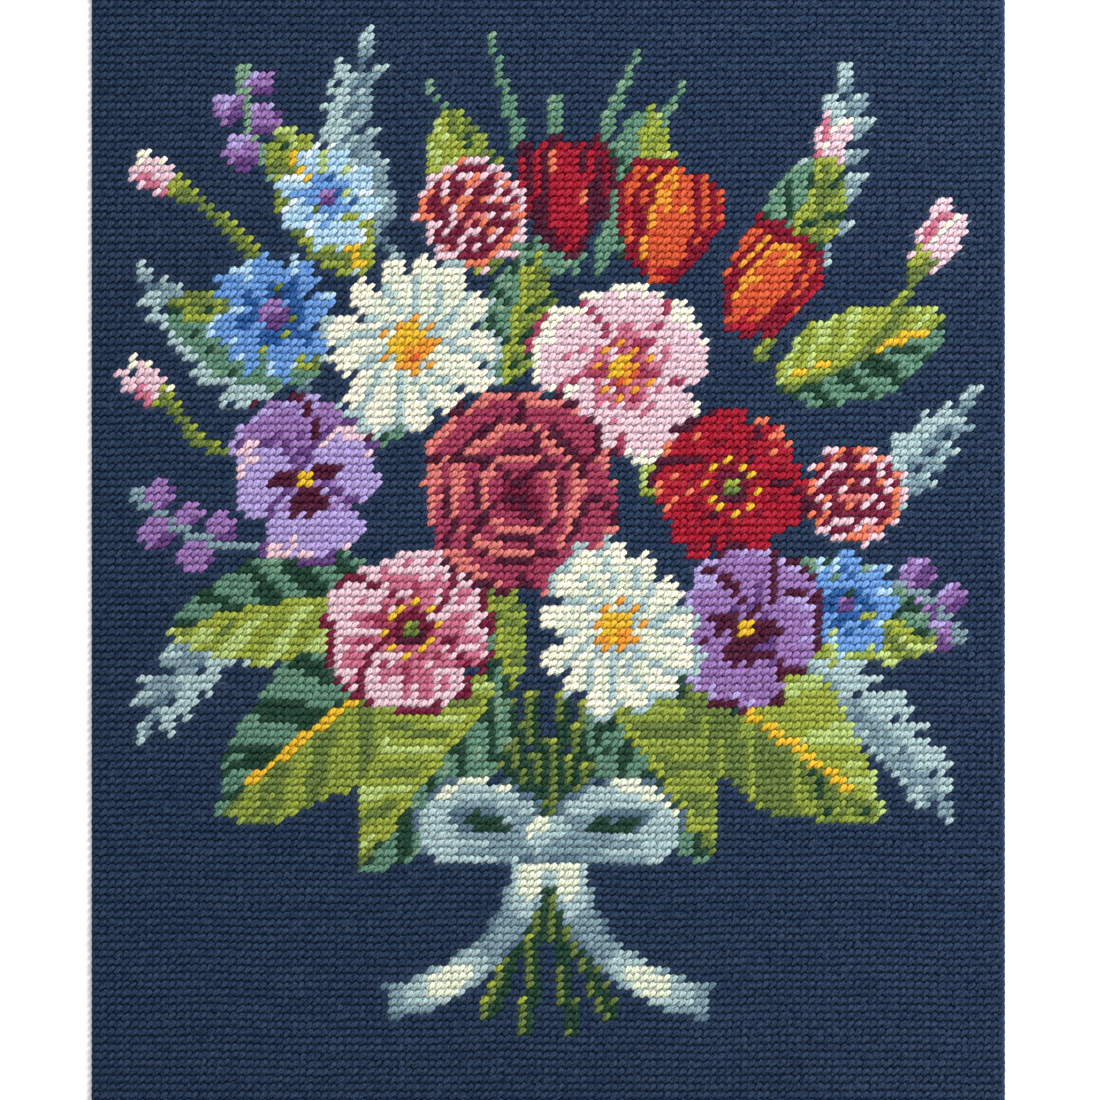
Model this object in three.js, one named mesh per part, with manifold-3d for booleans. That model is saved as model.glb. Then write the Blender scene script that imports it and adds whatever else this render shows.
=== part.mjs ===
// A needlepoint canvas panel, worked in tent stitch and lying face up, in millimetres.
//
// The panel is one cloth: an even-weave canvas with 120 by 142 tent stitches of tapestry wool over
// its crossings. It is flat underneath, and the stitches of each row stand up together as a low
// rounded rib, so the face has 142 ribs with a groove between each two. The cloth is rolled down a
// little along its four sides, where the last stitches pull the canvas edge over.
//
// The frame is +X along the rows, +Y up the picture and +Z out of the worked face, with the origin
// at the middle of the underside.

import * as THREE from "three";
import { mergeVertices } from "three/addons/utils/BufferGeometryUtils.js";
import Module from "manifold-3d";

// Canvas count: about ten holes to the inch, a little closer along the rows than up the columns
const stitchesAcross = 120;
const stitchRows = 142;
const columnPitch = 2.5;
const rowPitch = 2.575;

// Thickness: wool on the back, the canvas threads, then the wool of the face
const backWool = 0.5;
const canvasThread = 0.6;
const faceWool = 1.3;

// How far the groove between two rows lies below the rows' crests
const grooveDepth = 0.5;

// The rolled sides: how far in the roll starts, and how thick the cloth is at its very edge
const rollWidth = 1.6;
const edgeThickness = 1.5;

// Where the roll's two slopes meet: share of the roll's width, and share of the way up to the crests
const rollBend = { inset: 0.4, rise: 0.75 };

// Points closer than this are one point
const samePoint = 0.0001;

const panelWidth = stitchesAcross * columnPitch;
const panelLength = stitchRows * rowPitch;
const crestHeight = backWool + canvasThread + faceWool;

// One rib across its row, from a groove to the next: share of the pitch, and share of the relief
const ribShape = [
  { across: 0, rise: 0 },
  { across: 0.2, rise: 0.72 },
  { across: 0.5, rise: 1 },
  { across: 0.8, rise: 0.72 },
];

const wasm = await Module();
wasm.setup();

// A closed three.js geometry as a solid that can be cut
function solidFrom(geometry) {
  const bare = geometry.clone();
  bare.deleteAttribute("normal");
  bare.deleteAttribute("uv");
  const merged = mergeVertices(bare, samePoint);
  return new wasm.Manifold(
    new wasm.Mesh({
      numProp: 3,
      vertProperties: new Float32Array(merged.attributes.position.array),
      triVerts: new Uint32Array(merged.index.array),
    }),
  );
}

// A solid as a three.js geometry again
function geometryFrom(solid) {
  const mesh = solid.getMesh();
  const geometry = new THREE.BufferGeometry();
  geometry.setAttribute("position", new THREE.BufferAttribute(mesh.vertProperties, 3));
  geometry.setIndex(new THREE.BufferAttribute(mesh.triVerts, 1));
  geometry.computeVertexNormals();
  return geometry;
}

// The section of the cloth up its length, with a rib for each row of stitches
function ribbedSection() {
  const section = new THREE.Shape();
  const foot = -panelLength / 2;
  section.moveTo(foot, 0);
  for (let row = 0; row < stitchRows; row += 1) {
    for (const { across, rise } of ribShape) {
      const along = foot + (row + across) * rowPitch;
      section.lineTo(along, crestHeight - grooveDepth * (1 - rise));
    }
  }
  section.lineTo(-foot, crestHeight - grooveDepth);
  section.lineTo(-foot, 0);
  section.closePath();
  return section;
}

// The ribbed cloth: the section is drawn in (y, z) and pushed along X
function ribbedCloth() {
  const geometry = new THREE.ExtrudeGeometry(ribbedSection(), {
    depth: panelWidth,
    bevelEnabled: false,
  });
  // Shape x becomes Y, shape y becomes Z, and the push becomes X
  geometry.applyMatrix4(
    new THREE.Matrix4().set(0, 0, 1, -panelWidth / 2, 1, 0, 0, 0, 0, 1, 0, 0, 0, 0, 0, 1),
  );
  return solidFrom(geometry);
}

// A slab with its upper edges rolled off in two steps, which trims the cloth's four sides
function rolledSlab() {
  const bendHeight = edgeThickness + (crestHeight - edgeThickness) * rollBend.rise;
  const rollSteps = [
    { inset: 0, height: edgeThickness },
    { inset: rollWidth * rollBend.inset, height: bendHeight },
    { inset: rollWidth, height: crestHeight + grooveDepth },
  ];
  const ring = ({ inset, height }) => {
    const x = panelWidth / 2 - inset;
    const y = panelLength / 2 - inset;
    return [
      [-x, -y, height],
      [x, -y, height],
      [x, y, height],
      [-x, y, height],
    ];
  };
  const rings = [{ inset: 0, height: 0 }, ...rollSteps].map(ring);
  const corners = rings.flat();
  const faces = [];
  for (let level = 0; level + 1 < rings.length; level += 1) {
    for (let side = 0; side < 4; side += 1) {
      const low = level * 4 + side;
      const lowNext = level * 4 + ((side + 1) % 4);
      faces.push(low, lowNext, lowNext + 4, low, lowNext + 4, low + 4);
    }
  }
  const top = (rings.length - 1) * 4;
  faces.push(0, 2, 1, 0, 3, 2, top, top + 1, top + 2, top, top + 2, top + 3);
  const geometry = new THREE.BufferGeometry();
  geometry.setAttribute("position", new THREE.Float32BufferAttribute(corners.flat(), 3));
  geometry.setIndex(faces);
  return solidFrom(geometry);
}

const worked = new THREE.MeshStandardMaterial({ color: 0x26384f, roughness: 0.95, metalness: 0 });

const workedCanvas = new THREE.Mesh(geometryFrom(ribbedCloth().intersect(rolledSlab())), worked);
workedCanvas.name = "worked_canvas";

const panel = new THREE.Group();
panel.add(workedCanvas);

export default panel;
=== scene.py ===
"""A needlepoint canvas panel, worked in wool tent stitch and lying face up.

The panel is one canvas with 120 by 142 tent stitches. A chart gives each stitch its wool. Each face
stitch is a plump grain of wool that slants up to the right over one crossing of the canvas, and each
has a short upright bar on the back. The posy on the chart is a generic one of garden flowers.
"""

import math

import bpy
import numpy as np
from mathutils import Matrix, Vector


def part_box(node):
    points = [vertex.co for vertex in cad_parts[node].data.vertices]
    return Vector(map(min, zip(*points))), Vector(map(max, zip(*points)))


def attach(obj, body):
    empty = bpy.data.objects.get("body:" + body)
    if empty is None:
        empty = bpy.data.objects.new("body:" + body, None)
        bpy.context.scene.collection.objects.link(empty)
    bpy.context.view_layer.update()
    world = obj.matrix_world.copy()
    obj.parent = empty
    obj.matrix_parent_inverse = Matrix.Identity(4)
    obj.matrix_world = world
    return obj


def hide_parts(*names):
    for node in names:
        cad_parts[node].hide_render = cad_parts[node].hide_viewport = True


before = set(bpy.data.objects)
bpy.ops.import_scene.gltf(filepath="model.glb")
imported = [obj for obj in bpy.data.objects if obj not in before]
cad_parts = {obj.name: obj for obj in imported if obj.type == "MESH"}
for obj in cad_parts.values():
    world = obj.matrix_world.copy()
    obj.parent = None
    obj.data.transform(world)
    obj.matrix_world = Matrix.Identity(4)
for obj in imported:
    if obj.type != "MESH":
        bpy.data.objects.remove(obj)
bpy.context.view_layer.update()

# The cloth, in metres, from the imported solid
cloth_low, cloth_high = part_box("worked_canvas")
WIDTH = cloth_high.x - cloth_low.x
LENGTH = cloth_high.y - cloth_low.y
THICKNESS = cloth_high.z - cloth_low.z

# One stitch over each crossing of the canvas
COLUMNS = 120
ROWS = 142
COLUMN_PITCH = WIDTH / COLUMNS
ROW_PITCH = LENGTH / ROWS

# Heights above the underside: the canvas starts above the wool of the back, and dips at its holes
BACK_WOOL = 0.0005
CANVAS_TOP = 0.0011
HOLE_DEPTH = 0.0003
HOLE_BOTTOM = CANVAS_TOP - HOLE_DEPTH

# The rolled sides: how far in the roll starts, and how thick the cloth is at its very edge
ROLL_WIDTH = 0.0016
EDGE_THICKNESS = 0.0015

# The photograph's frame is as wide as this at the cloth's face, and its middle is right of the cloth's
PHOTO_WIDTH = 0.36066
PHOTO_OFFSET = 0.00056

dice = np.random.default_rng(7)


def make_camera():
    """A long lens straight above the cloth, with the top of the picture up."""
    data = bpy.data.cameras.new("camera")
    data.lens = 90
    data.sensor_width = 36
    data.clip_start = 0.01
    data.clip_end = 20
    camera = bpy.data.objects.new("camera", data)
    height = PHOTO_WIDTH * data.lens / data.sensor_width + THICKNESS
    camera.location = (PHOTO_OFFSET, 0, height)
    bpy.context.scene.collection.objects.link(camera)
    bpy.context.scene.camera = camera


make_camera()

# The wools, as sRGB colours from 0 to 255
WOOLS = {
    "navy": (36, 53, 78),
    "bottle_green": (34, 64, 50),
    "leaf_green": (98, 116, 60),
    "apple_green": (132, 148, 64),
    "lime": (146, 158, 64),
    "pale_lime": (170, 188, 114),
    "sea_green": (92, 130, 110),
    "sage": (116, 148, 124),
    "slate_teal": (84, 108, 124),
    "grey_teal": (120, 144, 154),
    "pale_teal": (160, 182, 184),
    "cream": (246, 240, 210),
    "mint_white": (216, 226, 198),
    "gold": (222, 174, 48),
    "amber": (222, 146, 52),
    "orange": (196, 84, 52),
    "salmon": (218, 116, 88),
    "scarlet": (156, 28, 48),
    "deep_red": (122, 22, 44),
    "plum": (74, 26, 48),
    "maroon": (108, 28, 54),
    "raspberry": (150, 58, 86),
    "coral": (204, 116, 112),
    "rose_pink": (188, 106, 130),
    "shell_pink": (224, 186, 196),
    "violet": (96, 64, 120),
    "lilac": (144, 110, 166),
    "lavender": (166, 150, 200),
    "royal_blue": (42, 86, 144),
    "cornflower": (102, 146, 202),
    "sky": (166, 198, 228),
    "ice": (212, 230, 240),
}
NAMES = list(WOOLS)
NUMBER = {name: number for number, name in enumerate(NAMES)}
GROUND = "navy"

# Runs of wool from shadow to light, for shading one kind of petal or leaf
SCARLETS = ("plum", "deep_red", "deep_red", "scarlet", "scarlet", "salmon")
CRIMSONS = ("plum", "maroon", "maroon", "raspberry", "raspberry", "coral")
PINKS = ("maroon", "raspberry", "rose_pink", "shell_pink", "shell_pink")
BLUSHES = ("raspberry", "rose_pink", "shell_pink", "shell_pink", "cream")
CREAMS = ("pale_teal", "mint_white", "mint_white", "cream", "cream", "cream")
ORANGES = ("deep_red", "scarlet", "orange", "orange", "amber")
CORALS = ("maroon", "coral", "coral", "coral", "salmon", "shell_pink")
VIOLETS = ("plum", "violet", "lilac", "lilac", "lavender")
LILACS = ("violet", "lilac", "lavender", "lavender", "shell_pink")
BLUES = ("royal_blue", "royal_blue", "cornflower", "cornflower", "sky")
SKIES = ("royal_blue", "cornflower", "sky", "sky", "ice")
GOLDS = ("orange", "amber", "gold", "gold")
DARK_LEAVES = ("bottle_green", "bottle_green", "sea_green", "sea_green", "sage")
LIGHT_LEAVES = ("leaf_green", "apple_green", "lime", "pale_lime", "pale_lime")
MID_LEAVES = ("bottle_green", "leaf_green", "apple_green", "lime")
TEALS = ("slate_teal", "grey_teal", "pale_teal", "pale_teal")
STEMS = ("bottle_green", "leaf_green", "lime")
RIBBONS = ("slate_teal", "grey_teal", "grey_teal", "pale_teal", "pale_teal", "mint_white")

# The chart: the wool of each stitch, with row 0 at the bottom. Its light comes from the upper left.
LIGHT_FROM = math.radians(125)
column, row = np.meshgrid(np.arange(COLUMNS) + 0.5, np.arange(ROWS) + 0.5)
chart = np.full((ROWS, COLUMNS), NUMBER[GROUND])

# Half widths in stitches: the least by which a petal or leaf is shaded, and a petal is worked
SHADED_HALF = 0.3
WORKED_HALF = 0.45


def swollen(share, tip):
    """How full a petal is along its length, from 0 to 1. The tip tells how it swells and closes."""
    swell, close = tip
    peak = swell / (swell + close)
    fullest = peak**swell * (1 - peak) ** close
    share = np.clip(share, 0.001, 0.999)
    return share**swell * (1 - share) ** close / fullest


def axes(at, heading, bend, length):
    """How far each stitch lies along and across a line from a point. The line bends as it goes."""
    turn = math.radians(heading)
    right = column - at[0]
    up = row - at[1]
    along = right * math.cos(turn) + up * math.sin(turn)
    across = up * math.cos(turn) - right * math.sin(turn)
    return along, across - bend * length * (along / length) ** 2


def streaks(across, waves, strength):
    """Long streaks that run with a petal: three waves across it, at random places."""
    total = np.zeros_like(across)
    for wave in (1, 1.7, 2.9):
        total += np.sin(math.pi * across * waves * wave + math.tau * dice.random())
    return total / 3 * strength


def work(inside, tone, wools):
    """Works the stitches inside a shape, each in the wool of its tone, from 0 to 1."""
    step = np.clip((tone * len(wools)).astype(int), 0, len(wools) - 1)
    numbers = np.array([NUMBER[name] for name in wools])
    chart[inside] = numbers[step][inside]


def petal(at, heading, length, width, wools, tip=(0.8, 0.5), bend=0.0, tone=0.5, rise=0.5, rim=0.2,
          streak=0.2, waves=3, ragged=0.0, edge=None):
    """One petal from its base. It lightens outwards by rise and to its sides by rim."""
    along, across = axes(at, heading, bend, length)
    share = along / length
    if ragged:
        share = share + ragged * np.sin(across * 2.4 + math.tau * dice.random())
    half = width / 2 * swollen(share, tip)
    side = across / np.maximum(half, SHADED_HALF)
    inside = (share > 0) & (share < 1) & (np.abs(across) < np.maximum(half, WORKED_HALF))
    lit = math.cos(math.radians(heading) + math.pi / 2 - LIGHT_FROM)
    share = np.clip(share, 0, 1)
    shade = tone + rise * (share - 0.5) + rim * (side**2 - 0.4) + 0.16 * lit * side
    shade += streaks(side, waves, streak) * (1 - 0.6 * share)
    if edge:
        round_it = (along > -0.05 * length) & (along < length + 1) & (np.abs(across) < half + 0.9)
        chart[round_it & ~inside & (chart != NUMBER[GROUND])] = NUMBER[edge]
    work(inside, shade, wools)


def ring(at, count, length, width, wools, turn=0.0, base=0.0, **shape):
    """Petals round a centre, each starting a little way out."""
    for i in range(count):
        heading = turn + 360 * i / count + dice.uniform(-5, 5)
        angle = math.radians(heading)
        start = (at[0] + base * math.cos(angle), at[1] + base * math.sin(angle))
        petal(start, heading, length * dice.uniform(0.92, 1.06), width, wools, **shape)


def disc(at, radius, wools, tone=0.5):
    """A round middle, a little mottled and lit from the upper left."""
    right = (column - at[0]) / radius
    up = (row - at[1]) / radius
    shade = tone + 0.4 * (right * math.cos(LIGHT_FROM) + up * math.sin(LIGHT_FROM))
    shade += dice.uniform(-0.16, 0.16, shade.shape)
    work(right**2 + up**2 < 1, shade, wools)


def dots(at, radius, count, wool, turn=0.0):
    """Single stitches round a middle, for the anthers."""
    for i in range(count):
        angle = math.radians(turn + 360 * i / count)
        x = int(at[0] + radius * math.cos(angle))
        y = int(at[1] + radius * math.sin(angle))
        chart[y, x] = NUMBER[wool]


def on_curve(points, share):
    """The place and heading at a share of the way along a smooth curve through three points."""
    first, middle, last = (np.array(point, float) for point in points)
    swing = 2 * (first - 2 * middle + last)
    push = 4 * middle - 3 * first - last
    place = first + push * share + swing * share**2
    way = push + 2 * swing * share
    return place, math.degrees(math.atan2(way[1], way[0]))


def stem(points, wools, width=1.6):
    """A stem along a smooth curve through three points."""
    steps = int(4 * sum(math.dist(a, b) for a, b in zip(points, points[1:])))
    for i in range(steps + 1):
        (x, y), _ = on_curve(points, i / steps)
        near = (np.abs(column - x) < width / 2) & (np.abs(row - y) < width / 2)
        side = (column - x) * math.cos(LIGHT_FROM) + (row - y) * math.sin(LIGHT_FROM)
        work(near, 0.5 + 0.3 * side, wools)


def frond(points, wools, leaflets, length, width=2.3):
    """A fern spray: leaflets in pairs on a stem, shorter towards its end."""
    stem(points, wools[:2], 1.1)
    for i in range(leaflets + 1):
        share = 0.14 + 0.82 * i / leaflets
        at, heading = on_curve(points, share)
        reach = length * (1.08 - 0.62 * share)
        for side in (1, -1) if i < leaflets else (0,):
            lean = heading + side * (50 + dice.uniform(-8, 8))
            petal(at, lean, reach * dice.uniform(0.85, 1.1), width, wools, tip=(0.7, 0.9),
                  bend=-0.08 * side, tone=0.55 + 0.12 * side, rise=0.3, streak=0.1)


def leaf(at, heading, length, width, upper, lower, bend=0.0, rib="gold", veins=5):
    """A broad leaf: two halves on a rib, each with side veins that slant towards the tip."""
    along, across = axes(at, heading, bend, length)
    share = along / length
    wave = 0.06 * np.sin(share * 19 + math.tau * dice.random())
    half = width / 2 * (1 + wave) * swollen(share, (0.62, 0.72))
    side = across / np.maximum(half, SHADED_HALF)
    inside = (share > 0) & (share < 1) & (np.abs(side) < 1)
    slant = share * veins - np.abs(side) * 0.9
    vein = 0.5 + 0.5 * np.cos(math.tau * slant)
    tone = 0.34 + 0.42 * vein + streaks(slant / veins * 2, 5, 0.22) + 0.14 * (np.abs(side) - 0.5)
    work(inside & (side > 0), tone, upper)
    work(inside & (side <= 0), tone - 0.12, lower)
    chart[inside & (np.abs(across) < 0.62) & (share > 0.06) & (share < 0.86)] = NUMBER[rib]


def rose(at, radius, wools, turn=0.0):
    """A full rose: three rounds of broad cupped petals, closing on a dark heart."""
    rounds = (
        dict(count=6, reach=1.0, wide=1.08, tone=0.46),
        dict(count=5, reach=0.68, wide=0.84, tone=0.52),
        dict(count=4, reach=0.40, wide=0.56, tone=0.56),
    )
    for i, layer in enumerate(rounds):
        ring(at, layer["count"], radius * layer["reach"], radius * layer["wide"], wools, turn + 37 * i,
             tip=(0.75, 0.24), tone=layer["tone"], rise=0.95, rim=0.1, streak=0.1,
             edge=wools[0])
    disc(at, radius * 0.12, wools[:2])


def daisy(at, radius, wools, turn=0.0):
    """A daisy: thirteen long petals round a gold middle."""
    ring(at, 13, radius, radius * 0.42, wools, turn, radius * 0.16, tip=(0.5, 0.3), tone=0.46,
         rise=0.4, rim=0.1, waves=2, edge=wools[0])
    disc(at, radius * 0.27, GOLDS, tone=0.6)
    dots(at, radius * 0.34, 9, "amber", turn)


def pansy(at, radius, upper, lower, turn=0.0):
    """A pansy: two petals behind, two at the sides and a broad one below, round a gold eye."""
    parts = (
        dict(heading=62, reach=1.0, wide=1.05, wools=upper),
        dict(heading=118, reach=1.0, wide=1.05, wools=upper),
        dict(heading=8, reach=0.9, wide=0.92, wools=lower),
        dict(heading=172, reach=0.9, wide=0.92, wools=lower),
        dict(heading=-90, reach=0.95, wide=1.25, wools=lower),
    )
    for part in parts:
        petal(at, part["heading"] + turn, radius * part["reach"], radius * part["wide"], part["wools"],
              tip=(0.7, 0.28), tone=0.55, rise=0.6, rim=0.12, streak=0.3, waves=4,
              edge=part["wools"][0])
    for heading in (8, 172, -90, -115, -65):
        petal(at, heading + turn, radius * 0.5, radius * 0.2, ("plum",), tip=(0.5, 0.6))
    disc(at, max(1.2, radius * 0.15), ("gold",))


def tulip(at, heading, length, wools, width=0.78):
    """A tulip cup seen from the side, its petals closing over each other."""
    parts = (
        dict(lean=20, tone=0.34),
        dict(lean=-20, tone=0.34),
        dict(lean=9, tone=0.55),
        dict(lean=-10, tone=0.5),
        dict(lean=0, tone=0.7),
    )
    for part in parts:
        petal(at, heading + part["lean"], length, length * width * 0.53, wools, tip=(0.5, 0.42),
              tone=part["tone"], rise=0.35, rim=0.12, streak=0.28, edge=wools[0])


def cornflower(at, radius, wools, turn=0.0):
    """A cornflower: ragged trumpets round a violet middle."""
    ring(at, 8, radius, radius * 0.62, wools, turn, radius * 0.1, tip=(1.3, 0.25), rise=0.7,
         streak=0.35, waves=5, ragged=0.1)
    ring(at, 5, radius * 0.55, radius * 0.3, wools, turn + 20, tip=(1.1, 0.3), tone=0.3, rise=0.4)
    disc(at, radius * 0.22, ("violet", "lilac"))


def poppy(at, radius, wools, turn=0.0):
    """A poppy: four broad crinkled petals round a dark middle with gold anthers."""
    ring(at, 4, radius, radius * 1.36, wools, turn, tip=(0.55, 0.22), tone=0.56, rise=0.42, rim=0.1,
         streak=0.42, waves=5, ragged=0.03, edge=wools[0])
    disc(at, radius * 0.25, ("plum", "maroon"))
    disc(at, radius * 0.12, ("leaf_green", "lime"))
    dots(at, radius * 0.33, 10, "gold", turn)


def wild_rose(at, radius, wools, turn=0.0):
    """A wild rose: five broad petals with light rims."""
    ring(at, 5, radius, radius * 1.06, wools, turn, radius * 0.06, tip=(0.85, 0.3), tone=0.54,
         rise=0.8, streak=0.28, waves=4, edge=wools[0])
    disc(at, radius * 0.18, GOLDS)
    dots(at, radius * 0.3, 9, "amber", turn)


def carnation(at, radius, wools, turn=0.0):
    """A carnation: three rounds of short ragged petals, lighter at their rims."""
    for i, reach in enumerate((1.0, 0.7, 0.4)):
        ring(at, 7 - i, radius * reach, radius * reach * 0.9, wools, turn + 23 * i, tip=(0.9, 0.22),
             tone=0.5 + 0.05 * i, rise=1.0, streak=0.15, waves=3, ragged=0.06,
             edge=wools[0] if i else None)


def bud(points, heading, length, wools):
    """A closed bud on its green cup, at the end of a thin stem."""
    stem(points, ("leaf_green", "lime"), 1.3)
    for lean, tone in ((10, 0.4), (-8, 0.75)):
        petal(points[-1], heading + lean, length, length * 0.34, wools, tip=(0.5, 0.7), tone=tone,
              rise=0.3)
    for lean in (22, -22, 0):
        petal(points[-1], heading + lean, length * 0.34, length * 0.2, STEMS[1:], tip=(0.5, 0.8))


def ribbon(points, wools, width, folds):
    """A ribbon along a smooth curve through three points, light and dark by turns as it waves."""
    steps = int(4 * sum(math.dist(a, b) for a, b in zip(points, points[1:])))
    for i in range(steps + 1):
        share = i / steps
        (x, y), heading = on_curve(points, share)
        turn = math.radians(heading)
        along = (column - x) * math.cos(turn) + (row - y) * math.sin(turn)
        across = (row - y) * math.cos(turn) - (column - x) * math.sin(turn)
        inside = (np.abs(along) < 0.8) & (np.abs(across) < width / 2)
        fold = math.sin(math.tau * folds * share)
        work(inside, 0.62 + 0.4 * fold - 0.5 * (2 * across / width) ** 4, wools)


def bow(at, span, wools):
    """A ribbon bow: two waving tails, two loops that show their dark insides, and the knot."""
    for side in (-1, 1):
        tail = ((at[0] + side * span * 0.1, at[1]), (at[0] + side * span * 0.42, at[1] - span * 0.8),
                (at[0] + side * span * 1.2, at[1] - span * 1.2))
        ribbon(tail, wools, span * 0.28, 1.6)
    for side in (-1, 1):
        heading = 90 - side * 74
        angle = math.radians(heading)
        petal(at, heading, span, span * 0.66, wools, tip=(0.65, 0.4), bend=-0.12 * side, tone=0.55,
              rise=0.5, rim=0.3, streak=0.3, waves=2, edge=wools[0])
        inner = (at[0] + 0.3 * span * math.cos(angle), at[1] + 0.3 * span * math.sin(angle))
        petal(inner, heading, span * 0.5, span * 0.2, ("bottle_green", "slate_teal"), tip=(0.7, 0.5),
              bend=-0.1 * side)
    disc(at, span * 0.18, wools, tone=0.6)


def bell_spray(points, leaf_wool, wools, count=5):
    """A thin stem with small round bells on alternate sides."""
    stem(points, (leaf_wool,), 1.1)
    for i in range(count):
        at, heading = on_curve(points, 0.35 + 0.62 * i / count)
        lean = heading + (60 if i % 2 else -60)
        angle = math.radians(lean)
        petal(at, lean, 3, 1.2, (leaf_wool,))
        disc(at + 2.6 * np.array((math.cos(angle), math.sin(angle))), dice.uniform(1.5, 2.4), wools)


def blade(at, heading, length, bend):
    """A long narrow blade of grass."""
    petal(at, heading, length, 2.6, ("sea_green", "sea_green", "sage"), tip=(0.35, 0.8), bend=bend,
          tone=0.55, rise=0.2, streak=0.3, waves=1)


def work_greenery():
    """Ferns, grasses, bells, stems and broad leaves, which lie behind the flowers."""
    frond(((40, 108), (34, 120), (36, 135)), TEALS, 8, 7.5)
    frond(((85, 106), (96, 116), (99, 131)), TEALS, 8, 7.5)
    frond(((28, 92), (17, 96), (7, 106)), TEALS, 8, 7)
    frond(((94, 76), (105, 80), (115, 90)), TEALS, 8, 7)
    frond(((32, 66), (18, 60), (7, 48)), TEALS, 9, 8)
    frond(((88, 56), (102, 50), (112, 38)), TEALS, 9, 8)
    blade((60, 106), 99, 32, 0.1)
    blade((63, 106), 80, 30, -0.12)
    blade((57, 106), 110, 28, 0.14)
    blade((66, 106), 70, 28, -0.1)
    blade((61, 106), 90, 27, 0)
    bell_spray(((26, 72), (15, 72), (6, 78)), "grey_teal", ("violet", "lilac", "lilac"))
    bell_spray(((96, 66), (107, 66), (114, 60)), "grey_teal", ("violet", "lilac", "lavender"))
    bell_spray(((30, 112), (22, 122), (20, 132)), "sage", ("violet", "lilac", "lavender"))
    # The stems are gathered low and fan out again under the tie
    middle = COLUMNS / 2
    for foot in (46, 52, 57, 63, 68, 74):
        out = foot - middle
        stem(((foot, 9 + abs(out) * 0.4), (middle + out * 0.3, 26), (middle - out * 0.7, 52)), STEMS, 1.9)
    leaf((46, 60), 212, 37, 18, MID_LEAVES, DARK_LEAVES, 0.1)
    leaf((74, 58), -30, 36, 18, LIGHT_LEAVES, MID_LEAVES, -0.1)
    leaf((54, 54), 226, 30, 15, DARK_LEAVES, LIGHT_LEAVES, 0.1, rib="lime")
    leaf((66, 54), -50, 27, 14, MID_LEAVES, DARK_LEAVES, -0.1, rib="lime")
    leaf((40, 66), 186, 30, 14, LIGHT_LEAVES, DARK_LEAVES, 0.08, rib="lime")
    leaf((84, 66), -8, 28, 13, DARK_LEAVES, LIGHT_LEAVES, -0.1, rib="lime")
    leaf((30, 94), 158, 22, 11, DARK_LEAVES, MID_LEAVES, rib="lime")
    leaf((36, 106), 122, 22, 11, MID_LEAVES, LIGHT_LEAVES)
    leaf((90, 92), 20, 24, 12, LIGHT_LEAVES, DARK_LEAVES)
    leaf((86, 102), 58, 24, 10, DARK_LEAVES, MID_LEAVES, rib="lime")
    leaf((52, 106), 104, 22, 11, LIGHT_LEAVES, MID_LEAVES, rib="lime")
    leaf((54, 92), 78, 18, 9, DARK_LEAVES, MID_LEAVES, rib="lime")
    leaf((72, 78), 40, 16, 8, LIGHT_LEAVES, DARK_LEAVES, rib="lime")
    leaf((50, 72), -75, 20, 9, MID_LEAVES, DARK_LEAVES, rib="lime")
    leaf((36, 84), 60, 14, 8, LIGHT_LEAVES, DARK_LEAVES, rib="lime")
    leaf((70, 108), 80, 20, 10, DARK_LEAVES, LIGHT_LEAVES, rib="lime")


def work_flowers():
    """The flowers, from the back of the posy to the front, and the bow."""
    bud(((92, 92), (102, 97), (108, 106)), 56, 11, BLUSHES)
    bud(((88, 96), (94, 108), (96, 118)), 76, 9, BLUSHES)
    bud(((24, 84), (16, 84), (11, 89)), 140, 9, BLUSHES)
    bud(((26, 104), (18, 112), (13, 116)), 148, 9, BLUSHES)
    cornflower((24, 101), 7.5, BLUES, 10)
    cornflower((31, 116), 6, SKIES, 30)
    tulip((74, 105), 76, 15, ORANGES)
    tulip((84, 99), 52, 14, ORANGES)
    tulip((63, 109), 96, 14, SCARLETS, 0.7)
    carnation((50, 114), 7, CORALS, 10)
    carnation((100, 78), 6.5, CORALS)
    cornflower((99, 64), 6, BLUES)
    pansy((28, 80), 10.5, VIOLETS, LILACS, 10)
    daisy((42, 97), 9.6, CREAMS)
    wild_rose((70, 94), 10.8, BLUSHES, 20)
    poppy((84, 79), 9.4, SCARLETS, 30)
    pansy((86, 61), 10, VIOLETS, VIOLETS, -14)
    poppy((42, 61), 10, PINKS, 10)
    rose((56, 78), 12.6, CRIMSONS, 12)
    daisy((69, 61), 9, CREAMS, 8)
    bow((60, 34), 17, RIBBONS)


work_greenery()
work_flowers()

# The stitches
# A face stitch, from its lower left hole to its upper right one. At each ring: the share of the way
# along, of the full width and of the full height, how far its foot is above the canvas's top, and how
# open it is to the light, from 0 deep between the stitches.
STITCH_RINGS = (
    dict(along=0.03, wide=0.62, high=0.34, foot=-0.00030, open=0.1),
    dict(along=0.17, wide=1.00, high=0.93, foot=-0.00010, open=1.0),
    dict(along=0.83, wide=1.00, high=0.93, foot=-0.00010, open=1.0),
    dict(along=0.97, wide=0.62, high=0.34, foot=-0.00030, open=0.1),
)
# Its section, from its lower right side over the crown to its upper left side: share of the half
# width, share of the height, and again how open it is to the light
STITCH_SECTION = (
    dict(side=-1.00, up=0.56, open=0.6),
    dict(side=-0.60, up=0.89, open=0.9),
    dict(side=0.00, up=1.00, open=1.0),
    dict(side=0.60, up=0.89, open=0.9),
    dict(side=1.00, up=0.56, open=0.6),
)
# How far it reaches to the right and up, with its lean and length from that
STITCH_RUN = 1.26 * COLUMN_PITCH
STITCH_RISE = 0.83 * ROW_PITCH
STITCH_LEAN = math.atan2(STITCH_RISE, STITCH_RUN)
STITCH_LENGTH = np.hypot(STITCH_RUN, STITCH_RISE)
STITCH_HALF_WIDTH = 0.00094
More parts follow.
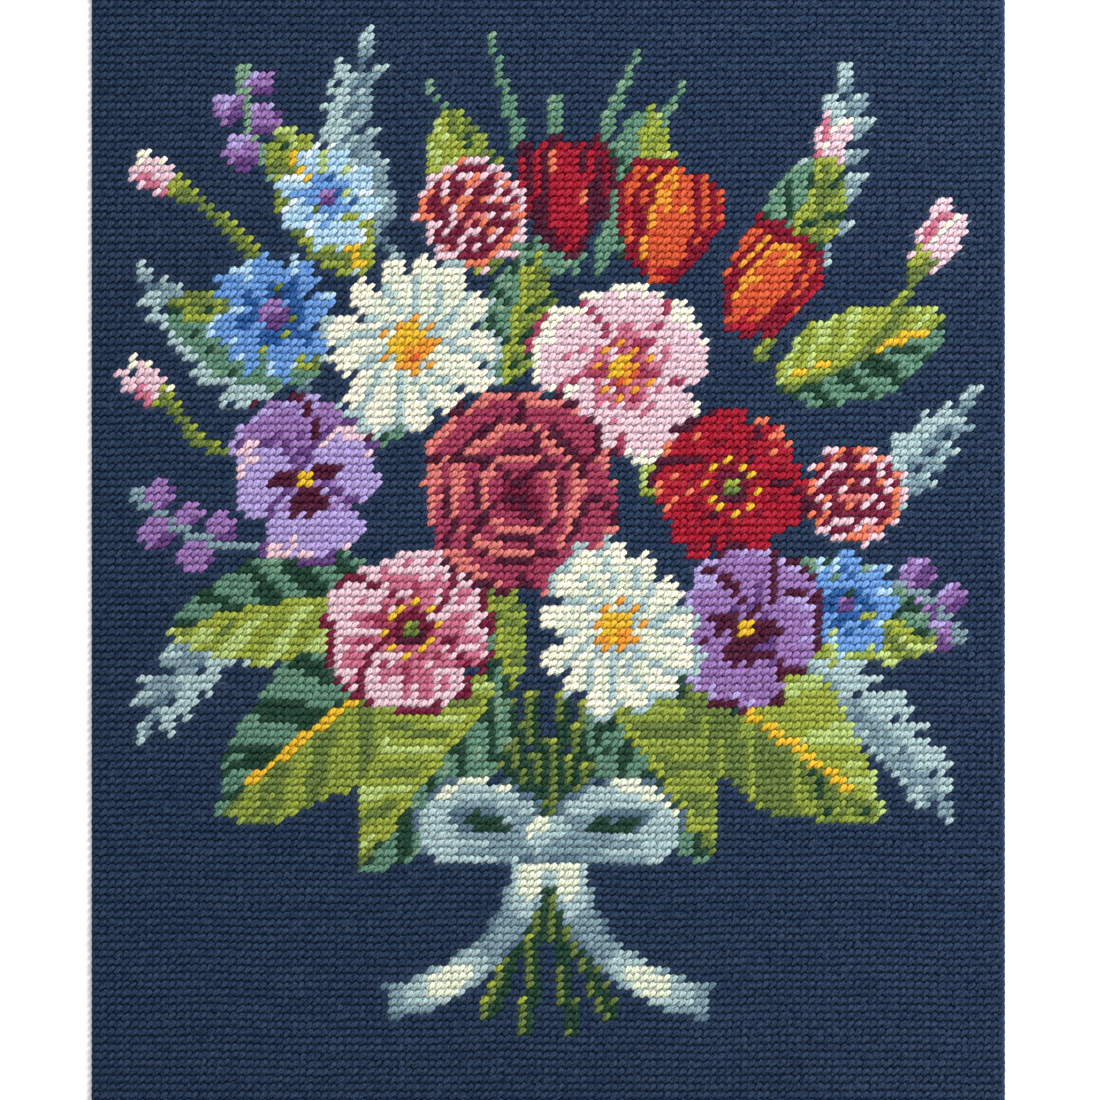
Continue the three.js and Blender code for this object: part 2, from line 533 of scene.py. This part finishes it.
# Its height and the most that one may have, as shares of the wool's height above the canvas
STITCH_HEIGHT = 0.93
TALLEST_STITCH = 1.06
# How much one stitch differs from the next: its lean in degrees, its length, width and height as
# shares, and its place, its bend and the lumps on it in metres
STITCH_SCATTER = dict(lean=4.5, length=0.045, width=0.08, height=0.07, place=0.0001, bend=0.00006,
                      lumps=0.00008)

# A bar on the back: its half width, its length in rows, and its ridge's length as a share of its own
BAR_HALF_WIDTH = 0.0013
BAR_REACH = 1.04
BAR_RIDGE = 0.55
BAR_SCATTER = dict(width=0.06, ridge=0.08)
# How deep its foot is in the canvas, and how open it is to the light
BAR_ROOT = 0.0002
BAR_LIGHT = 0.9
# Its faces by its own points, four at the foot and two on the ridge. All go with the underside.
BAR_FACES = [
    ((0, 3, 5, 4), True),
    ((2, 1, 4, 5), True),
    ((0, 4, 1), True),
    ((2, 5, 3), True),
    ((0, 1, 2, 3), True),
]

# How rows and columns wander, as on hand-pulled canvas: the size of each wave in metres, its radians
# for each metre along x and y, and its start. The cloth's sides are held, and this near to them the
# waves die out.
WAVES_RIGHT = (
    dict(size=0.00022, by_x=0, by_y=71, start=1.1),
    dict(size=0.00016, by_x=31, by_y=163, start=0.4),
)
WAVES_UP = (
    dict(size=0.00024, by_x=58, by_y=0, start=2.3),
    dict(size=0.00018, by_x=139, by_y=47, start=5.1),
)
HELD_WIDTH = 0.02


def from_side(x, y):
    """How far in from the cloth's nearest side each place is."""
    return np.minimum(WIDTH / 2 - np.abs(x), LENGTH / 2 - np.abs(y))


def wander(x, y, waves):
    """How far the canvas has wandered at each place."""
    return sum(wave["size"] * np.sin(x * wave["by_x"] + y * wave["by_y"] + wave["start"]) for wave in waves)


def settle(points):
    """Points of the flat, even cloth as they lie: wandering a little, and rolled down at the sides."""
    x = points[..., 0]
    y = points[..., 1]
    free = np.clip(from_side(x, y) / HELD_WIDTH, 0, 1)
    free = free * free * (3 - 2 * free)
    right = wander(x, y, WAVES_RIGHT) * free
    up = wander(x, y, WAVES_UP) * free
    x = np.clip(x + right, cloth_low.x, cloth_high.x)
    y = np.clip(y + up, cloth_low.y, cloth_high.y)
    close = 1 - np.clip(from_side(x, y) / ROLL_WIDTH, 0, 1)
    z = points[..., 2] * (1 - (1 - EDGE_THICKNESS / THICKNESS) * close**2)
    return np.stack([x, y, z], -1)


def stitch_middles():
    """The middle of each stitch's crossing, row by row."""
    x = cloth_low.x + column * COLUMN_PITCH
    y = cloth_low.y + row * ROW_PITCH
    return np.stack([x, y], -1).reshape(-1, 2)


def face_stitches():
    """Points of all face stitches, one after another, and how open each point is to the light."""
    middles = stitch_middles()
    count = len(middles)
    scatter = STITCH_SCATTER
    lean = STITCH_LEAN + np.radians(dice.normal(0, scatter["lean"], count))
    length = STITCH_LENGTH * dice.normal(1, scatter["length"], count)
    half = STITCH_HALF_WIDTH * dice.normal(1, scatter["width"], count)
    height = dice.normal(STITCH_HEIGHT, scatter["height"], count)
    crown = (THICKNESS - CANVAS_TOP) * np.minimum(height, TALLEST_STITCH)
    offset = dice.normal(0, scatter["place"], (count, 2))
    bend = dice.normal(0, scatter["bend"], count)
    forward = np.stack([np.cos(lean), np.sin(lean)], -1)
    sideways = np.stack([-np.sin(lean), np.cos(lean)], -1)
    points = np.zeros((count, len(STITCH_RINGS) * len(STITCH_SECTION) + 2, 3))
    light = np.zeros(points.shape[:2])
    place = 0
    for cut in STITCH_RINGS:
        way = (cut["along"] - 0.5) * length
        arch = bend * (1 - (2 * cut["along"] - 1) ** 2)
        for spot in STITCH_SECTION:
            aside = spot["side"] * half * cut["wide"] + arch
            full = crown - cut["foot"]
            points[:, place, :2] = middles + offset + forward * way[:, None] + sideways * aside[:, None]
            points[:, place, 2] = CANVAS_TOP + cut["foot"] + full * cut["high"] * spot["up"]
            points[:, place] += dice.normal(0, scatter["lumps"], (count, 3))
            light[:, place] = spot["open"] * cut["open"]
            place += 1
    # The two tips lie in the dark of their holes
    for end in (-0.5, 0.5):
        points[:, place, :2] = middles + offset + forward * (end * length)[:, None]
        points[:, place, 2] = HOLE_BOTTOM
        place += 1
    return settle(points), light


def face_stitch_faces():
    """The faces of one face stitch by its own points, and whether each goes with the underside."""
    across = len(STITCH_SECTION)
    last = across * (len(STITCH_RINGS) - 1)
    tips = last + across
    faces = []
    for k in range(across):
        after = (k + 1) % across
        under = after == 0
        for low in range(0, last, across):
            high = low + across
            faces.append(((low + k, high + k, high + after, low + after), under))
        faces.append(((tips, k, after), under))
        faces.append(((tips + 1, last + after, last + k), under))
    return faces


def back_bars():
    """Points of the upright bars on the back, each to the right of its stitch, and how open they are."""
    middles = stitch_middles() + (COLUMN_PITCH / 2, 0)
    middles[:, 0] = np.minimum(middles[:, 0], cloth_high.x - BAR_HALF_WIDTH)
    count = len(middles)
    half = BAR_HALF_WIDTH * dice.normal(1, BAR_SCATTER["width"], count)
    reach = ROW_PITCH / 2 * BAR_REACH
    ridge = reach * dice.normal(BAR_RIDGE, BAR_SCATTER["ridge"], count)
    points = np.zeros((count, 6, 3))
    points[:, :, :2] = middles[:, None]
    for place, (right, up) in enumerate(((-1, -1), (1, -1), (1, 1), (-1, 1))):
        points[:, place, 0] += right * half
        points[:, place, 1] += up * reach
    points[:, 4, 1] -= ridge
    points[:, 5, 1] += ridge
    points[:, :4, 2] = BACK_WOOL + BAR_ROOT
    return settle(points), np.full((count, 6), BAR_LIGHT)


def repeated(points, light, shade, faces, chosen):
    """Points, light, shade and faces of the chosen ones of many like shapes, as one mesh."""
    per_shape = points.shape[1]
    points = points[chosen]
    start = np.arange(len(points)) * per_shape
    corners = np.concatenate([np.array(face) for face, _ in faces])
    return dict(
        points=points.reshape(-1, 3),
        light=light[chosen].ravel(),
        shade=np.repeat(shade[chosen], per_shape),
        corners=(start[:, None] + corners).ravel(),
        counts=np.tile([len(face) for face, _ in faces], len(points)),
        under=np.tile([under for _, under in faces], len(points)),
    )


def joined(parts):
    """Several sets of points and faces as one."""
    shifts = np.cumsum([0] + [len(part["points"]) for part in parts[:-1]])
    whole = {key: np.concatenate([part[key] for part in parts]) for key in parts[0]}
    whole["corners"] = np.concatenate([part["corners"] + shift for part, shift in zip(parts, shifts)])
    return whole


# A piece's flat map: the strip for what goes with the underside, as a share of the map, and the margin
UNDER_STRIP = 0.1
MAP_MARGIN = 0.005


def flat_map(shape):
    """A map of the piece as seen from above, with what goes with the underside in a strip of its own."""
    gap = 2 * MAP_MARGIN
    under = np.repeat(shape["under"], shape["counts"])
    places = shape["points"][shape["corners"]][:, :2]
    low = places.min(0)
    share = (places - low) / (places.max(0) - low)
    face = (1 - UNDER_STRIP - gap) * share[:, 0]
    back = 1 - UNDER_STRIP + (UNDER_STRIP - gap) * share[:, 0]
    across = np.where(under, back, face)
    return MAP_MARGIN + (1 - gap) * np.stack([across, share[:, 1]], -1)


def make_piece(name, shape, finish):
    """One smooth mesh object from points and faces."""
    mesh = bpy.data.meshes.new(name)
    mesh.vertices.add(len(shape["points"]))
    mesh.vertices.foreach_set("co", shape["points"].astype(np.float32).ravel())
    mesh.loops.add(len(shape["corners"]))
    mesh.loops.foreach_set("vertex_index", shape["corners"].astype(np.int32))
    starts = np.concatenate([[0], np.cumsum(shape["counts"])[:-1]])
    mesh.polygons.add(len(starts))
    mesh.polygons.foreach_set("loop_start", starts.astype(np.int32))
    mesh.update(calc_edges=True)
    mesh.polygons.foreach_set("use_smooth", np.ones(len(starts), bool))
    for key in ("light", "shade"):
        if key in shape:
            values = mesh.attributes.new(key, "FLOAT", "POINT")
            values.data.foreach_set("value", shape[key].astype(np.float32))
    layer = mesh.uv_layers.new(name="OFBake")
    layer.uv.foreach_set("vector", flat_map(shape).astype(np.float32).ravel())
    mesh.materials.append(finish)
    piece = bpy.data.objects.new(name, mesh)
    bpy.context.scene.collection.objects.link(piece)
    return piece


# The finishes
class Socket:
    """A node's output that takes part in sums, so that shader maths reads as maths."""

    def __init__(self, finish, link):
        self.finish = finish
        self.link = link

    def maths(self, operation, first, second):
        return self.finish.node("ShaderNodeMath", {"operation": operation}, {0: first, 1: second})

    def __add__(self, other):
        return self.maths("ADD", self, other)

    def __sub__(self, other):
        return self.maths("SUBTRACT", self, other)

    def __rsub__(self, other):
        return self.maths("SUBTRACT", other, self)

    def __mul__(self, other):
        return self.maths("MULTIPLY", self, other)

    __radd__ = __add__
    __rmul__ = __mul__


class Finish:
    """A material while it is being made."""

    def __init__(self, name):
        self.material = bpy.data.materials.new(name)
        self.material.use_nodes = True
        self.material.node_tree.nodes.clear()

    def node(self, kind, settings=None, inputs=None, output=0):
        """Adds a node, sets it up, joins or fills its sockets, and gives one of its outputs."""
        made = self.material.node_tree.nodes.new(kind)
        for key, value in (settings or {}).items():
            setattr(made, key, value)
        for key, value in (inputs or {}).items():
            if isinstance(value, Socket):
                self.material.node_tree.links.new(value.link, made.inputs[key])
            else:
                made.inputs[key].default_value = value
        return Socket(self, made.outputs[output]) if made.outputs else None

    def mix(self, share, first, second):
        """A colour between two others."""
        return self.node("ShaderNodeMix", {"data_type": "RGBA"}, {0: share, 6: first, 7: second}, 2)

    def carried(self, name, output="Fac"):
        """A number, or with the output Color a colour, that the mesh carries on its points."""
        return self.node("ShaderNodeAttribute", {"attribute_name": name}, output=output)

    def places(self, sizes, turn=0.0):
        """Places on the cloth, counted in these sizes in metres along a turned x and y, and up."""
        place = self.node("ShaderNodeTexCoord", output="Object")
        return self.node("ShaderNodeMapping", {"vector_type": "TEXTURE"},
                         {"Vector": place, "Rotation": (0, 0, turn), "Scale": sizes})

    def noise(self, sizes, turn=0.0, detail=2.0):
        """Noise whose blotches have these sizes in metres along a turned x and y, and up."""
        return self.node("ShaderNodeTexNoise", {}, {
            "Vector": self.places(sizes, turn), "Scale": 1.0, "Detail": detail,
        })

    def waves(self, width, turn, start):
        """Soft bands of one width in metres that run across a direction, from a start in radians."""
        # At a scale of 1 a wave texture turns through 20 radians for each unit
        one_band = math.tau / 20
        return self.node("ShaderNodeTexWave", {"wave_profile": "SIN"}, {
            "Vector": self.places((width,) * 3, turn), "Scale": one_band, "Distortion": 1.2,
            "Detail Scale": 0.5, "Phase Offset": start,
        }, "Fac")

    def relief(self, height, strength, distance):
        """Relief by a height in which 1 stands for this distance in metres."""
        return self.node("ShaderNodeBump", {}, {
            "Strength": strength, "Distance": distance, "Height": height,
        })

    def shader(self, sockets):
        """Ends the material with its shader."""
        made = self.node("ShaderNodeBsdfPrincipled", {}, sockets)
        self.node("ShaderNodeOutputMaterial", {}, {"Surface": made})
        return self.material


def linear(colour, brighter=1.0):
    """An sRGB colour from 0 to 255 as a linear one, made brighter or darker."""
    share = np.array(colour) / 255
    light = np.where(share < 0.04045, share / 12.92, ((share + 0.055) / 1.055) ** 2.4)
    return tuple(np.clip(light * brighter, 0, 1)) + (1.0,)


# Tapestry wool: how far its colour wanders each way, and the share of that which a white wool loses,
# because light passes through it
WOOL_SPREAD = 0.24
LIGHT_EVENS = 0.6
# Between the stitches it is this much brighter and deeper in colour, because the light there has
# come from one wool to the next
GAP_GLOW = 1.75
GAP_DEPTH = 0.12
# Painted sheen on its lighter fibres, as a share of white added to their colour
PAINTED_SHEEN = 0.016
# Its fibres run along the stitch and its plies across it, and a length of wool differs from the next
FIBRE_SIZES = (0.0018, 0.00042, 0.00042)
PLY_WIDTH = 0.00105
PLY_TWIST = math.radians(-50)
HANK_SIZES = (0.03, 0.006, 0.01)
# How far the plies of the lightest stitch start from those of the darkest, in radians
PLY_SHIFT = 40
# How much a stitch's shade, its fibres and its plies lighten it, and the sum at which it is darkest
SHADE_LIGHTENS = 0.5
FIBRES_LIGHTEN = 6.5
PLIES_LIGHTEN = 0.4
DARKEST_SUM = 3.7
# Its relief: how strong, how high its fibres are in metres, and what the plies add to that
WOOL_RELIEF = 0.9
FIBRE_HEIGHT = 0.0004
PLIES_RISE = 0.6
# How much the shade differs from stitch to stitch and from row to row, with 0.5 in the middle
SHADE_SCATTER = dict(stitch=0.16, row=0.07)

# The canvas: its cotton from dark to light, the size of its blotches, and the size and relief of its
# threads
COTTON_DARK = (190, 176, 146)
COTTON_LIGHT = (214, 204, 178)
BLOTCH_SIZES = (0.0006, 0.0006, 0.0006)
THREAD_SIZES = (0.0003, 0.0012, 0.0006)
THREAD_RELIEF = 0.4
THREAD_HEIGHT = 0.0002


def gap_colour(colour):
    """A wool's colour as it looks deep between the stitches."""
    plain = np.array(linear(colour)[:3])
    deep = plain * GAP_GLOW * (plain / plain.max()) ** GAP_DEPTH
    return tuple(np.minimum(deep, 1)) + (1.0,)


def wool_finish(name):
    """Matt tapestry wool with a painted sheen, not quite even: its fibres run along the stitch and catch
    the light.
    """
    colour = WOOLS[name]
    spread = WOOL_SPREAD * (1 - LIGHT_EVENS * max(linear(colour)[:3]))
    finish = Finish(name + "_wool")
    fibres = finish.noise(FIBRE_SIZES, STITCH_LEAN, 3)
    shade = finish.carried("shade")
    plies = finish.waves(PLY_WIDTH, STITCH_LEAN + PLY_TWIST, shade * PLY_SHIFT)
    hanks = finish.noise(HANK_SIZES)
    dark = linear(colour, 1 - spread)
    # Its lighter colour carries the painted sheen
    light = tuple(np.minimum(np.array(linear(colour, 1 + spread)) + PAINTED_SHEEN, 1))
    marks = shade * SHADE_LIGHTENS + fibres * FIBRES_LIGHTEN + plies * PLIES_LIGHTEN + hanks
    open_wool = finish.mix(marks - DARKEST_SUM, dark, light)
    seen = finish.mix(finish.carried("light"), gap_colour(colour), open_wool)
    relief = finish.relief(fibres + plies * PLIES_RISE, WOOL_RELIEF, FIBRE_HEIGHT)
    return finish.shader({
        "Base Color": seen, "Roughness": 0.95, "Normal": relief, "Specular IOR Level": 0.0,
    })


def canvas_finish():
    """Unbleached cotton canvas, which shows the wool that is pressed into it on the worked side."""
    finish = Finish("canvas_cotton")
    cotton = finish.mix(finish.noise(BLOTCH_SIZES), linear(COTTON_DARK), linear(COTTON_LIGHT))
    pressed = finish.carried("pressed_wool", "Color")
    seen = finish.mix(finish.carried("light"), cotton, pressed)
    relief = finish.relief(finish.noise(THREAD_SIZES), THREAD_RELIEF, THREAD_HEIGHT)
    return finish.shader({
        "Base Color": seen, "Roughness": 0.9, "Normal": relief, "Specular IOR Level": 0.2,
    })


# The pieces: one for each wool, with the ground in bands of rows
GROUND_BANDS = 4


def band_names(name):
    """The names of one wool's pieces, with the rows that each one covers."""
    if name != GROUND:
        return [(name + "_stitches", 0, ROWS)]
    limits = [round(ROWS * i / GROUND_BANDS) for i in range(GROUND_BANDS + 1)]
    bands = zip(limits, limits[1:])
    return [(f"{name}_ground_{i + 1}", low, high) for i, (low, high) in enumerate(bands)]


def make_stitches():
    """All face stitches and back bars, as one piece for each wool and each band of the ground."""
    face_points, face_light = face_stitches()
    bar_points, bar_light = back_bars()
    each_stitch = dice.normal(0.5, SHADE_SCATTER["stitch"], ROWS * COLUMNS)
    each_row = np.repeat(dice.normal(0, SHADE_SCATTER["row"], ROWS), COLUMNS)
    shade = np.clip(each_stitch + each_row, 0, 1)
    wool = chart.ravel()
    row_number = np.repeat(np.arange(ROWS), COLUMNS)
    made = []
    for name in NAMES:
        finish = wool_finish(name)
        for piece_name, low, high in band_names(name):
            chosen = np.flatnonzero((wool == NUMBER[name]) & (row_number >= low) & (row_number < high))
            if not len(chosen):
                continue
            faces = repeated(face_points, face_light, shade, face_stitch_faces(), chosen)
            bars = repeated(bar_points, bar_light, shade, BAR_FACES, chosen)
            piece = make_piece(piece_name, joined([faces, bars]), finish)
            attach(piece, "root")
            made.append(piece)
    return made


def canvas_layers():
    """Points of the canvas's top and underside: first the holes of each, then its crossings."""
    x = np.linspace(cloth_low.x, cloth_high.x, COLUMNS + 1)
    y = np.linspace(cloth_low.y, cloth_high.y, ROWS + 1)
    holes = np.stack(np.meshgrid(x, y), -1).reshape(-1, 2)
    flat = np.concatenate([holes, stitch_middles()])
    top = np.column_stack([flat, np.full(len(flat), CANVAS_TOP)])
    top[:len(holes), 2] = HOLE_BOTTOM
    bottom = np.column_stack([flat, np.full(len(flat), BACK_WOOL)])
    bottom[:len(holes), 2] += HOLE_DEPTH / 2
    return top, bottom


def canvas_shape():
    """The canvas: a slab that dips at each hole and stands up at each crossing of its threads."""
    top, bottom = canvas_layers()
    layer = len(top)
    holes_across = COLUMNS + 1
    hole = (np.arange(ROWS)[:, None] * holes_across + np.arange(COLUMNS)).ravel()
    crossing = (ROWS + 1) * holes_across + np.arange(ROWS * COLUMNS)
    around = [hole, hole + 1, hole + 1 + holes_across, hole + holes_across]
    sides = zip(around, around[1:] + around[:1])
    up = np.concatenate([np.stack([a, b, crossing], -1) for a, b in sides])
    down = up[:, ::-1] + layer
    # The rim goes round the holes at the cloth's four sides
    foot = np.arange(COLUMNS)
    side = np.arange(ROWS) * holes_across
    last = ROWS * holes_across
    rim = np.concatenate([foot, side + COLUMNS, last + foot[::-1] + 1, side[::-1] + holes_across])
    after = np.roll(rim, -1)
    walls = np.concatenate([np.stack([rim + layer, after + layer, after], -1),
                            np.stack([rim + layer, after, rim], -1)])
    faces = np.concatenate([up, down, walls])
    return dict(
        points=settle(np.concatenate([top, bottom])),
        # The worked side shows pressed wool, and the underside bare cotton
        light=np.concatenate([np.ones(layer), np.zeros(layer)]),
        corners=faces.ravel(),
        counts=np.full(len(faces), 3),
        under=np.concatenate([np.zeros(len(up), bool), np.ones(len(down) + len(walls), bool)]),
    )


def pressed_colours():
    """The wool that is pressed into each point of the canvas, at a hole that of the stitches round it."""
    of_crossing = np.array([gap_colour(WOOLS[name]) for name in NAMES])[chart]
    padded = np.pad(of_crossing, ((1, 1), (1, 1), (0, 0)), "edge")
    of_hole = (padded[1:, 1:] + padded[1:, :-1] + padded[:-1, 1:] + padded[:-1, :-1]) / 4
    return np.concatenate([of_hole.reshape(-1, 4), of_crossing.reshape(-1, 4)] * 2)


def make_canvas():
    """The canvas as a piece, with the wool that is pressed into it."""
    piece = make_piece("canvas", canvas_shape(), canvas_finish())
    pressed = piece.data.color_attributes.new("pressed_wool", "FLOAT_COLOR", "POINT")
    pressed.data.foreach_set("color", pressed_colours().astype(np.float32).ravel())
    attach(piece, "root")
    return piece


stitches = make_stitches()
canvas = make_canvas()
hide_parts("worked_canvas")


# The stage: the floor's half width in metres, its colours and its speckle, and the surround's brightness
FLOOR_HALF = 4.0
FLOOR_DARK = (246, 246, 246)
FLOOR_LIGHT = (250, 250, 250)
SPECKLE_SIZES = (0.01, 0.01, 0.01)
SURROUND_STRENGTH = 0.54


def make_floor():
    """A plain near-white floor under the cloth."""
    finish = Finish("floor")
    shade = finish.mix(finish.noise(SPECKLE_SIZES), linear(FLOOR_DARK), linear(FLOOR_LIGHT))
    material = finish.shader({"Base Color": shade, "Roughness": 0.9, "Specular IOR Level": 0.1})
    turns = ((-1, -1), (1, -1), (1, 1), (-1, 1))
    corners = [(x * FLOOR_HALF, y * FLOOR_HALF, 0) for x, y in turns]
    mesh = bpy.data.meshes.new("floor")
    mesh.from_pydata(corners, [], [(0, 1, 2, 3)])
    mesh.materials.append(material)
    floor = bpy.data.objects.new("floor", mesh)
    bpy.context.scene.collection.objects.link(floor)


def make_light(name, place, size, watts):
    """A square soft box that faces the middle of the cloth."""
    data = bpy.data.lights.new(name, "AREA")
    data.shape = "SQUARE"
    data.size = size
    data.energy = watts
    lamp = bpy.data.objects.new(name, data)
    lamp.location = place
    lamp.rotation_mode = "QUATERNION"
    lamp.rotation_quaternion = Vector(place).to_track_quat("Z", "Y")
    bpy.context.scene.collection.objects.link(lamp)


def make_world():
    """An even white surround."""
    world = bpy.data.worlds.new("surround")
    world.use_nodes = True
    background = world.node_tree.nodes["Background"]
    background.inputs["Color"].default_value = (1, 1, 1, 1)
    background.inputs["Strength"].default_value = SURROUND_STRENGTH
    bpy.context.scene.world = world


make_floor()
make_light("key_box", place=(0.75, 0.42, 0.75), size=0.5, watts=14.6)
make_light("fill_box", place=(-0.8, 1.2, 2.4), size=1.8, watts=14.6)
make_world()
bpy.context.scene.view_settings.view_transform = "Standard"
